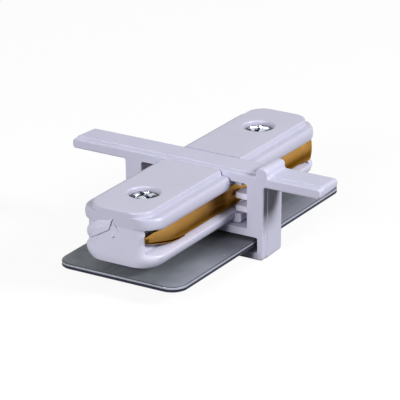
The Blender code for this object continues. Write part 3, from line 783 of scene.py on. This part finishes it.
FOLD_SECTION = np.array([
    (-0.12, -0.26), (-0.05, -0.30), (-0.05, -0.38), (-0.14, -0.44), (-0.55, -0.44), (-0.60, -0.38),
    (-0.60, 0.25), (-0.50, 0.25), (-0.50, -0.28), (-0.40, -0.33)]) * MM
# Painted shade on the fold's hidden faces, and a painted highlight on its outer lower edge.
FOLD_PAINTED_SHADING = [0.5, 0.1, 0.15, 0.6, 0.9, 1.0, 1.0, 1.0, 1.0, 1.0]
BRASS = (0.46, 0.26, 0.085), (0.34, 0.185, 0.058)
BRASS_GLANCE = (0.90, 0.60, 0.32)
# Ramp of the brass's painted shading: from lit brass to painted shade and reflection.
BRASS_PAINTED_SHADING = ((0.0, (0.43, 0.240, 0.072)), (0.5, (0.255, 0.135, 0.040)),
                 (1.0, (0.075, 0.036, 0.013)))


def strip_shape(x):
    """Upper edge, height and inward curl of the strip at each x along it."""
    taper = np.clip((x - OPEN_END + STRIP_TAPER) / STRIP_TAPER, 0.0, None) ** 1.3
    curl = STRIP_CURL_DEPTH * smooth_step((x - OPEN_END + STRIP_CURL) / STRIP_CURL)
    return (STRIP_TOP - taper * STRIP_TIP_DROP,
            STRIP_HEIGHT + taper * (STRIP_TIP_HEIGHT - STRIP_HEIGHT), curl)


def painted_shading(x, v):
    """How dark the brass is painted: painted shade and reflection below its crown, most so far from the
    open end.

    A bell curve across the strip is scaled by a level that is read off along
    it; the lowest edge gets a painted highlight.
    """
    level = np.interp(x / MM, [-28.0, -3.0, 2.0, 3.2, 5.6, 8.0, 11.5, 15.0, 31.0],
                      [0.85, 0.80, 0.40, 0.40, 0.95, 0.95, 0.45, 0.30, 0.16])
    patch = np.interp(x / MM, [3.2, 5.2, 7.8, 11.5], [0.0, 0.78, 0.78, 0.0])
    bell = np.exp(-((v - 0.30) / 0.26) ** 2)
    dark = np.maximum(level[:, None] * bell, patch[:, None] * smooth_step(v / 0.3))
    dark += np.interp(x / MM, [-2.0, 10.0], [0.04, 0.19])[:, None]
    dark = np.maximum(dark, smooth_step((x / MM - 29.9) / 0.6)[:, None] * (v < 0.7))
    return np.where((v < 0.05) & (x[:, None] < 30.0 * MM), 0.30, dark)


def build_contact(name, side, wraps, node):
    """A parabolic arch in section, carried along the strip and, if it wraps, round the corner."""
    straight = np.linspace(OPEN_END, -CLOSED_END, STRIP_STEPS)
    turn = np.linspace(0.0, WRAP_TURN, WRAP_STEPS + 1)[1:] if wraps else np.zeros(0)
    radius = STRIP_FACE - WAIST + WAIST_CORNER
    corner = HALF_LENGTH - WAIST_CORNER
    x = np.concatenate((straight, -corner - radius * np.sin(turn)))
    y = np.concatenate((np.full(STRIP_STEPS, STRIP_FACE), WAIST - WAIST_CORNER + radius * np.cos(turn)))
    out_x = np.concatenate((np.zeros(STRIP_STEPS), -np.sin(turn)))
    out_y = np.concatenate((np.ones(STRIP_STEPS), np.cos(turn)))
    top, tall, curl = strip_shape(x)
    bow = STRIP_BOW * (tall / STRIP_HEIGHT) ** 2
    if wraps:
        wrapped = smooth_step((-x - CLOSED_END + WRAP_START) / WRAP_START)
        curl = curl - WRAP_SWELL * wrapped
        bow = bow * (1 - WRAP_FLATTEN * wrapped)
    else:
        curl = curl + STRIP_HOOK_DEPTH * np.clip(1 - (x + CLOSED_END) / STRIP_HOOK, 0.0, None) ** 2
    v = np.concatenate(([0.0, 0.012], np.linspace(0.04, 0.96, 19), [0.988, 1.0]))
    ease = np.concatenate(([0.10, 0.03], np.zeros(19), [0.03, 0.10])) * MM
    reach = -curl[:, None] - bow[:, None] * (2 * v - 1) ** 2 - ease
    z = top[:, None] - tall[:, None] * (1 - v)
    outer, inner = [np.stack((x[:, None] + out_x[:, None] * face, y[:, None] + out_y[:, None] * face, z),
                             axis=2) for face in (reach, reach - STRIP_THICKNESS + 2 * ease)]
    section = np.concatenate((outer, inner[:, ::-1]), axis=1)
    # Painted shading per point: the outer face as worked out above, the inner face in painted shade.
    dull = np.concatenate((painted_shading(x, v), np.full((len(x), len(v)), 0.75)), axis=1)
    turned = np.array([side, side, 1.0])
    piece = make_piece(name, [section * turned, build_fold() * turned], caps="each", sharp=50.0,
                       stands_for=[node])
    shade = piece.data.attributes.new("painted_shading", "FLOAT", "POINT")
    shade.data.foreach_set("value", np.concatenate((dull.ravel(), np.tile(FOLD_PAINTED_SHADING, FOLD_STEPS))))
    return piece


def build_fold():
    """The fold under the open end: a narrow C, a little wavy, hung below the strip's edge.

    The gap above it swells and closes as a half sine along the strip.
    """
    x = np.linspace(OPEN_END - STRIP_TAPER, OPEN_END - 0.3 * MM, FOLD_STEPS)
    top, tall, curl = strip_shape(x)
    part = np.sin(np.linspace(0.0, math.pi, FOLD_STEPS))[:, None] ** 0.7
    wave = (0.02 * MM * np.sin(x / (0.31 * MM)) + 0.015 * MM * np.sin(x / (0.17 * MM) + 1.0))[:, None]
    face = (STRIP_FACE - curl - STRIP_BOW * (tall / STRIP_HEIGHT) ** 2)[:, None]
    out, down = FOLD_SECTION.T
    hangs = down < 0
    y = face + out + wave
    z = (top - tall)[:, None] + down * np.where(hangs, 0.35 + 0.9 * part, 1.0) + wave * hangs
    return np.stack((np.repeat(x[:, None], len(out), 1), y, z), axis=2)


STREAK_STRETCH = (0.06, 1.0, 1.0)
STREAK_SHARE = 0.30           # how much of the tarnish follows the streaks and not the clouds


def metal_group():
    """Rolled sheet: fine streaks along one axis over cloudy tarnish."""
    group, given = start_group("rolled_surface", {
        "Bright": (0.8, 0.6, 0.3, 1.0), "Dull": (0.5, 0.3, 0.1, 1.0), "Streak Scale": 900.0,
        "Cloud Scale": 160.0, "Roughness": 0.3})
    place = object_place(group)
    drawn = add_node(group, "ShaderNodeMapping", {"Vector": place, "Scale": STREAK_STRETCH})
    streak = noise(group, drawn.outputs[0], given["Streak Scale"], 4.0, 0.65)
    cloud = noise(group, place, given["Cloud Scale"], 5.0, 0.6)
    both = add_node(group, "ShaderNodeMix", {"Factor": STREAK_SHARE, "A": cloud, "B": streak})
    dull = rise(group, both.outputs["Result"], 0.40, 0.66)
    colour = mix_colours(group, dull, given["Bright"], given["Dull"])
    return end_group(group, given, colour, maths(group, "MULTIPLY_ADD", dull, 0.16, -0.04), streak)


ROLLED = metal_group()


def metal(name, bright, dull, roughness, relief=0.003, share=1.0, sheen=0.5,
          edge_tint=(1.0, 1.0, 1.0), masks=()):
    """A bare or plated metal; the group gives its colour, roughness and streaks.

    The share is how much of the surface is bare metal and not film, and the
    sheen how much the film mirrors. The edge tint colours what is mirrored at
    a grazing angle. Each mask is a function that returns a factor socket and
    the colour that replaces the group's where the factor is one.
    """
    material, shader, colour = dress(name, ROLLED, {"Bright": bright, "Dull": dull}, roughness,
                                     relief, 0.7)
    tree = material.node_tree
    shader["Metallic"].default_value = share
    shader["Specular IOR Level"].default_value = sheen
    shader["Specular Tint"].default_value = (*edge_tint, 1.0)
    for mask in masks:
        factor, tone = mask(tree)
        colour = mix_colours(tree, factor, colour, tone)
    tree.links.new(colour, shader["Base Color"])
    return material


def painted_shading_mask(tree):
    """The strip's painted shading attribute (painted shade, reflection and highlight), broken up a little
    by fine noise.
    """
    dark = add_node(tree, "ShaderNodeAttribute", attribute_name="painted_shading").outputs["Fac"]
    broken = maths(tree, "MULTIPLY_ADD", noise(tree, object_place(tree), 900.0, 4.0), 0.24, -0.12)
    factor = maths(tree, "ADD", dark, broken, clamp=True)
    return rise(tree, factor, 0.0, 0.25, bottom=0.55), ramp(tree, factor, BRASS_PAINTED_SHADING)


for side, place, wraps in ((-1, "right", True), (1, "left", False)):
    strip = build_contact(f"{place}_contact_strip", side, wraps, f"contact_{place}")
    # The brass takes its painted shade, reflection and highlight from the strip's attribute.
    strip.data.materials.append(metal(f"{place}_brass", *BRASS, roughness=0.34,
                                      edge_tint=BRASS_GLANCE, masks=[painted_shading_mask]))
    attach(strip, "connector")


# Clamp plate: a stamped steel plate, bright zinc under a thin dark film. Its
# upper edge is rolled over by the die and two threaded collars hang below it.
PLATE_LENGTH = 63.00 * MM
PLATE_WIDTH = 27.60 * MM
PLATE_TOP = 4.00 * MM
PLATE_THICKNESS = 1.12 * MM
PLATE_CORNER = 3.20 * MM
PLATE_ROLL = 0.34 * MM
PLATE_BREAK = 0.04 * MM
BORE_EDGE = 0.10 * MM
COLLAR_RADIUS = 2.35 * MM
COLLAR_DROP = 0.80 * MM
COLLAR_CHAMFER = 0.15 * MM
LINE_SOFT = 0.05 * MM
STEEL = (0.265, 0.290, 0.310), (0.180, 0.198, 0.215)
# Colour of the painted reflection on the plate's right-hand margin.
PAINTED_REFLECTION_TONE = (0.40, 0.43, 0.53)
# Colour of the painted shade on the plate round the frame.
PAINTED_SHADE_TONE = (0.078, 0.083, 0.097)
DUST_TONE = (0.75, 0.77, 0.80)
# Painted reflection on the plate's rolled edge: a dark line, a painted highlight under it and a dark band
# below.
PAINTED_RIM_LINES = ((0.17, 0.02, (0.04, 0.04, 0.055)), (0.46, 0.26, (0.36, 0.36, 0.44)),
             (1.03, 0.54, (0.012, 0.013, 0.028)))    # mm down from the top, and the tone


def build_plate():
    """A rounded rectangle through the thickness; each opening's rings form a collar."""
    bottom = PLATE_TOP - PLATE_THICKNESS
    rings = []
    for z, inset in ([(bottom, PLATE_BREAK), (bottom + PLATE_BREAK, 0.0)]
                     + [(PLATE_TOP - depth, inset) for depth, inset in edge_profile(PLATE_ROLL)[::-1]]):
        half_length, half_width = PLATE_LENGTH / 2 - inset, PLATE_WIDTH / 2 - inset
        plan = rounded([(-half_length, -half_width), (half_length, -half_width),
                        (half_length, half_width), (-half_length, half_width)],
                       [PLATE_CORNER - inset] * 4, steps=12)
        rings.append(np.column_stack((plan, np.full(len(plan), z))))
    stacks = [np.array(rings)]
    turn = np.linspace(0.0, 2 * math.pi, 48, endpoint=False)
    foot = bottom - COLLAR_DROP
    profile = [(COLLAR_RADIUS, bottom), (COLLAR_RADIUS, foot + COLLAR_CHAMFER),
               (COLLAR_RADIUS - COLLAR_CHAMFER, foot), (BORE_RADIUS, foot),
               (BORE_RADIUS, PLATE_TOP - BORE_EDGE), (BORE_RADIUS + BORE_EDGE, PLATE_TOP)]
    for end in (-1, 1):
        stacks.append(np.array([
            np.column_stack((end * SCREW_X + radius * np.cos(turn), radius * np.sin(turn),
                             np.full(len(turn), z))) for radius, z in profile]))
    return make_piece("clamp_plate_steel", stacks, stands_for=["clamp_plate"])


def painted_rim_line(low, high, tone):
    """A mask for one band of the edge's painted highlight and reflection, between two heights, and its
    colour.
    """
    def mask(tree):
        height = coordinate(tree, object_place(tree), "Z")
        above = rise(tree, height, low - LINE_SOFT, low + LINE_SOFT)
        below = rise(tree, height, high + LINE_SOFT, high - LINE_SOFT)
        return maths(tree, "MULTIPLY", above, below), tone
    return mask


def painted_reflection_margin(tree):
    """The plate's right-hand margin with a painted reflection: paler and bluer."""
    place = object_place(tree)
    away = maths(tree, "MULTIPLY", coordinate(tree, place, "Y"), -1.0)
    uneven = maths(tree, "MULTIPLY_ADD", noise(tree, place, 120.0, 3.0), 3.0 * MM, away)
    return rise(tree, uneven, 10.0 * MM, 15.5 * MM), PAINTED_REFLECTION_TONE


def painted_shade_near_frame(tree):
    """Painted shade on the plate round the frame, uneven along its length."""
    place = object_place(tree)
    uneven = maths(tree, "MULTIPLY_ADD", noise(tree, place, 150.0, 3.0), 4.0 * MM,
                   coordinate(tree, place, "X"))
    near = rise(tree, uneven, -18.0 * MM, -6.0 * MM)
    far = rise(tree, uneven, 8.0 * MM, 4.0 * MM, top=0.85)
    return maths(tree, "MULTIPLY", near, far), PAINTED_SHADE_TONE


def dust_specks(tree):
    """Rare pale grains of dust."""
    return scattered_dots(tree, object_place(tree), 560.0, 0.13, 0.07, "Green"), DUST_TONE


plate = build_plate()
painted_edge_lines = [painted_rim_line(PLATE_TOP - low * MM, PLATE_TOP - high * MM, tone)
              for low, high, tone in PAINTED_RIM_LINES]
# The plate's masks: painted reflection on its margin, painted shade round the frame, real dust, and
# painted edge lines.
plate.data.materials.append(metal(
    "plated_steel", *STEEL, roughness=0.50, relief=0.002, share=0.22, sheen=0.20,
    masks=[painted_reflection_margin, painted_shade_near_frame, dust_specks] + painted_edge_lines))
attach(plate, "plate")


# Screws: pan-head machine screws, bright zinc plated, with a cross recess. Each
# clamps a cover to the base and draws the plate up by its thread.
HEAD_SEAT = 14.80 * MM
HEAD_RADIUS = 3.05 * MM
HEAD_RIM = 1.12 * MM
HEAD_CROWN = 0.98 * MM
HEAD_EASE = 0.12 * MM
CROWN_POWER = 0.34            # lower is flatter on top and rounder at the rim
SHANK_LENGTH = 13.00 * MM
THREAD_CREST = 1.45 * MM
THREAD_DEPTH = 0.24 * MM
THREAD_PITCH = 0.50 * MM
THREAD_END = 0.90 * MM        # plain neck under the head
THREAD_FADE = 1.00 * MM
NECK_FILLET = 0.10 * MM
POINT_LENGTH = 0.50 * MM
POINT_DEPTH = 0.45 * MM
CROSS_REACH = 1.75 * MM
CROSS_WIDTH = 0.42 * MM
CROSS_DEPTH = 1.15 * MM
HEAD_PATCH = 2.60 * MM        # how far the noise pulls the dark rim in and out
# Radii of the head's painted dark rim, a painted reflection, and depths of the cross's painted shade.
HEAD_DARK = (3.12 * MM, 3.42 * MM)
CROSS_DARK = (0.45 * MM, 0.85 * MM)      # depths between which the cross darkens
CROSS_ROUND = (2.15 * MM, 2.05 * MM)     # beyond this radius the depth is the crown's own
ZINC = (0.86, 0.88, 0.93), (0.40, 0.44, 0.50)
# Colour of the painted reflection on the heads' rims and the painted shade in their crosses.
ZINC_PAINTED_SHADE = (0.018, 0.019, 0.030)


def build_screw(name, end, turned, node, columns=192):
    """Radius and height along the screw's profile, turned about its axis.

    Along the shank the radius follows the triangle wave of height over pitch
    less angle over a full turn, faded out at both ends. The crown's radius is
    a power of one less the square of its share of the height, and the crown
    drops wherever the nearer of two crossed bars is reached, deepest in the
    middle, with steep eased walls.
    """
    angle = np.linspace(0.0, 2 * math.pi, columns, endpoint=False)
    climb = np.linspace(-SHANK_LENGTH, -THREAD_END, 380)[:, None]
    phase = (climb / THREAD_PITCH - angle / (2 * math.pi)) % 1.0
    flank = np.abs(2 * phase - 1.0)
    fade = smooth_step((climb + SHANK_LENGTH) / THREAD_FADE) * smooth_step(
        (-THREAD_END - climb) / THREAD_FADE)
    radius = THREAD_CREST - THREAD_DEPTH * (1 - flank * fade)
    radius -= POINT_DEPTH * np.clip(1 - (climb + SHANK_LENGTH) / POINT_LENGTH, 0.0, 1.0)
    height = np.repeat(climb, columns, 1)
    neck = THREAD_CREST - THREAD_DEPTH
    under = np.array([(neck, -NECK_FILLET), (neck + NECK_FILLET, 0.0), (HEAD_RADIUS - HEAD_EASE, 0.0),
                      (HEAD_RADIUS, HEAD_EASE), (HEAD_RADIUS, HEAD_RIM * 0.6), (HEAD_RADIUS, HEAD_RIM)])
    share = np.sin(np.linspace(0.0, math.pi / 2, 110))[1:, None]
    crown_radius = HEAD_RADIUS * (1 - share ** 2) ** CROWN_POWER * 0.999 + 0.01 * MM
    crown_height = HEAD_RIM + HEAD_CROWN * share
    x = crown_radius * np.cos(angle + turned)
    y = crown_radius * np.sin(angle + turned)
    bars = np.minimum(
        np.maximum(np.abs(x) / CROSS_REACH, np.abs(y) / CROSS_WIDTH),
        np.maximum(np.abs(y) / CROSS_REACH, np.abs(x) / CROSS_WIDTH))
    sunk = smooth_step((1.15 - bars) / 0.3) * (0.75 + 0.25 * smooth_step(1 - crown_radius / (0.9 * MM)))
    crown_height = crown_height - CROSS_DEPTH * sunk
    radius = np.concatenate((radius, np.repeat(under[:, :1], columns, 1),
                             np.repeat(crown_radius, columns, 1)))
    height = np.concatenate((height, np.repeat(under[:, 1:], columns, 1), crown_height))
    grid = np.stack((end * SCREW_X + radius * np.cos(angle), radius * np.sin(angle),
                     HEAD_SEAT + height), axis=2)
    return make_piece(name, [grid], sharp=50.0, stands_for=[node])


def painted_head_shading(end):
    """Painted shading by place: a painted reflection darkens the head's rolled rim and painted shade the
    depth of its cross, a little uneven.
    """
    top = HEAD_SEAT + HEAD_RIM + HEAD_CROWN

    def mask(tree):
        place = object_place(tree)
        shifted = add_node(tree, "ShaderNodeMapping", {
            "Vector": place, "Location": (-end * SCREW_X, 0.0, 0.0)}).outputs[0]
        flat = add_node(tree, "ShaderNodeVectorMath", {0: shifted, 1: (1.0, 1.0, 0.0)},
                        operation="MULTIPLY").outputs["Vector"]
        away = add_node(tree, "ShaderNodeVectorMath", {0: flat}, operation="LENGTH").outputs["Value"]
        uneven = maths(tree, "MULTIPLY_ADD", noise(tree, shifted, 850.0, 1.0), HEAD_PATCH, away)
        rim = rise(tree, uneven, *HEAD_DARK)
        height = coordinate(tree, place, "Z")
        sunk = rise(tree, height, top - CROSS_DARK[0], top - CROSS_DARK[1])
        inside = rise(tree, away, *CROSS_ROUND)
        on_head = maths(tree, "GREATER_THAN", height, HEAD_SEAT)
        cross = maths(tree, "MULTIPLY", sunk, maths(tree, "MULTIPLY", inside, on_head))
        return maths(tree, "MAXIMUM", rim, cross), ZINC_PAINTED_SHADE
    return mask


for end, place, turned in ((-1, "front", math.radians(25.0)), (1, "rear", math.radians(-15.0))):
    screw = build_screw(f"{place}_screw_zinc_plated", end, turned, f"{place}_screw")
    # Zinc with painted reflection on the head's rim and painted shade in its cross.
    screw.data.materials.append(metal(f"{place}_zinc", *ZINC, roughness=0.14, relief=0.0005,
                                      masks=[painted_head_shading(end)]))
    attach(screw, f"screw_{place}")
